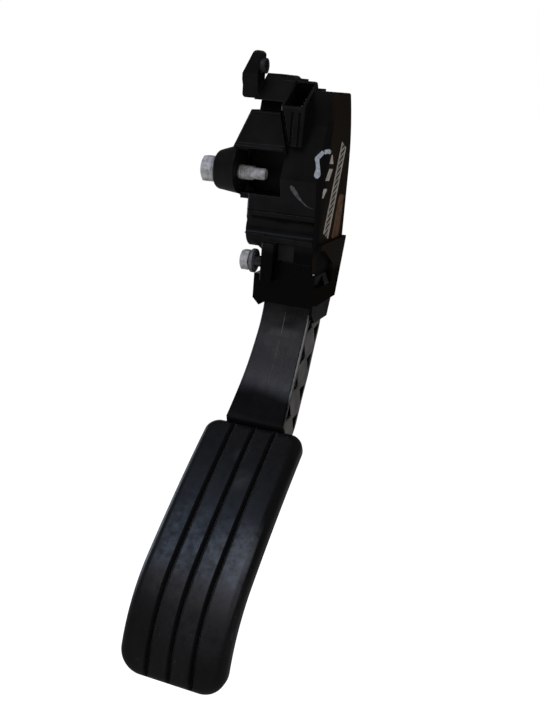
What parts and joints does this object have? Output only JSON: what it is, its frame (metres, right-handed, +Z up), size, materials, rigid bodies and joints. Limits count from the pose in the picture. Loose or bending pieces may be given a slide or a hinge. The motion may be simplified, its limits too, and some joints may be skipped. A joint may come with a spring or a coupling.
{
  "type": "accelerator pedal",
  "caption": "Hanging drive-by-wire accelerator pedal: moulded sensor housing with side bolts and a plug socket, latticed swinging arm and curved grooved rubber pad.",
  "frame": {"origin": "on the upper bolt's axis, at the inner face of its boss", "axes": "+X along the bolts from the driver's left to right, +Y forwards away from the driver, +Z up"},
  "size_m": [0.08, 0.1655, 0.2899],
  "materials": {
    "housing_plastic": "black glass-filled plastic, satin from the mould",
    "cover_plastic": "black plastic, fine grain",
    "arm_plastic": "black glass-filled plastic, rubbed on its front",
    "pad_rubber": "black rubber, scuffed",
    "seal_rubber": "black rubber",
    "board_laminate": "green solder mask",
    "chip_resin": "black moulded package",
    "rotor_magnet": "sintered magnet",
    "terminal_tin": "tinned brass",
    "pin_steel": "ground steel",
    "bush_bronze": "bronze",
    "spring_steel": "oiled spring wire",
    "seat_nylon": "natural nylon",
    "bolt_zinc": "bright zinc plate",
    "washer_dark": "blackened steel",
    "ear_steel": "blackened steel"
  },
  "bodies": {
    "frame": {"housing": "housing_plastic", "sensor_cover": "cover_plastic", "cover_seal": "seal_rubber", "sensor_board": "board_laminate", "hall_sensors": "chip_resin", "connector_terminals": "terminal_tin", "pivot_pin": "pin_steel", "outer_spring": "spring_steel", "inner_spring": "spring_steel", "upper_spring_seat": "seat_nylon", "friction_shoe": "seat_nylon", "idle_stop": "seal_rubber", "kickdown_stop": "seal_rubber", "upper_bolt": "bolt_zinc", "boss_sleeve": "pin_steel", "lower_bolt": "bolt_zinc", "lower_washer": "washer_dark", "lower_insert": "bush_bronze", "ear_bush": "ear_steel"},
    "pedal": {"pedal_arm": "arm_plastic", "pedal_pad": "pad_rubber", "left_bush": "bush_bronze", "right_bush": "bush_bronze", "sensor_rotor": "rotor_magnet", "lower_spring_seat": "seat_nylon"}
  },
  "joints": [
    {"name": "pedal_pivot", "type": "hinge", "parent": "frame", "child": "pedal", "pos_m": [0.031, 0.012, -0.03], "axis": [1, 0, 0], "range_deg": [0, 16], "stiffness_Nm_per_rad": 8, "springref_deg": -17.19, "deforming": ["outer_spring", "inner_spring"]}
  ]
}
